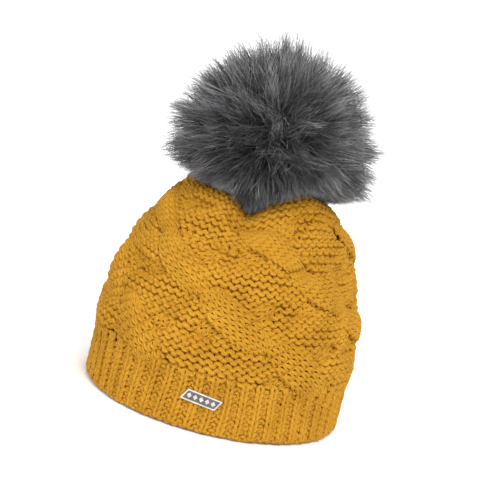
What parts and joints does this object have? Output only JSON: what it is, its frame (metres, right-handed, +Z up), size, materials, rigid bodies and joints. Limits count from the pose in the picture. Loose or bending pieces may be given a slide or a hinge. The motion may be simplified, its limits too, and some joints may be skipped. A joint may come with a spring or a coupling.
{
  "type": "pom pom beanie",
  "caption": "Soft cable-knit winter hat with a ribbed hem, a fleece lining and a press-on faux-fur bobble; pulled over the head for warmth.",
  "frame": {"origin": "centre of the head opening in the plane of the hem", "axes": "+Z up through the crown and bobble, -Y to the hat's front where the badge is, +X to the wearer's left"},
  "size_m": [0.1888, 0.189, 0.264],
  "materials": {
    "mustard_yarn": "chunky matt acrylic and wool yarn, mustard yellow",
    "fleece": "short brushed polyester fleece, mustard yellow",
    "mustard_thread": "doubled sewing thread",
    "badge_metal": "satin nickel plate",
    "label_satin": "woven satin tape, unprinted",
    "felt": "pressed felt",
    "snap_metal": "nickel-plated brass",
    "spring_steel": "bright spring wire",
    "fur_backing": "knitted fur ground",
    "filling": "loose polyester fibre filling",
    "fur_thread": "waxed thread",
    "fur": "dense short faux-fur pile, charcoal grey",
    "guard_fur": "long soft faux-fur guard hair, charcoal grey"
  },
  "bodies": {
    "hat": {"ribbed_hem": "mustard_yarn", "cable_knit_body": "mustard_yarn", "back_seam": "mustard_yarn", "lining_band": "fleece", "lining_seams": "fleece", "hem_stitches": "mustard_thread", "badge_plate": "badge_metal", "badge_washers": "badge_metal", "label_stitches": "mustard_thread", "lining_gore_front": "fleece", "lining_gore_right": "fleece", "lining_gore_back": "fleece", "lining_gore_left": "fleece"},
    "stud_mount": {"crown_rosette": "mustard_yarn", "crown_drawthread": "mustard_thread", "crown_patch": "felt", "stud_cap": "snap_metal", "snap_stud": "snap_metal"},
    "socket_mount": {"snap_socket": "snap_metal", "socket_spring": "spring_steel", "socket_cap": "snap_metal", "bobble_base": "felt"},
    "bobble": {"bobble_backing": "fur_backing", "bobble_filling": "filling", "bobble_drawstring": "fur_thread", "bobble_underfur": "fur", "bobble_guard_hair": "guard_fur"},
    "label": {"care_label": "label_satin"}
  },
  "joints": [
    {"name": "bobble_nod", "type": "hinge", "parent": "hat", "child": "stud_mount", "pos_m": [0, 0, 0.1395], "axis": [1, 0, 0], "range_deg": [-15, 15], "stiffness_Nm_per_rad": 0.05, "deforming": ["bobble_guard_hair"]},
    {"name": "bobble_unsnap", "type": "slide", "parent": "stud_mount", "child": "socket_mount", "axis": [0, 0, 1], "range_m": [0, 0.04]},
    {"name": "bobble_sway", "type": "hinge", "parent": "socket_mount", "child": "bobble", "pos_m": [0, 0, 0.151], "axis": [0, 1, 0], "range_deg": [-15, 15], "stiffness_Nm_per_rad": 0.05, "deforming": ["bobble_guard_hair"]},
    {"name": "label_lift", "type": "hinge", "parent": "hat", "child": "label", "pos_m": [0, 0.0789, 0.0415], "axis": [-1, 0, 0], "range_deg": [0, 80]}
  ]
}
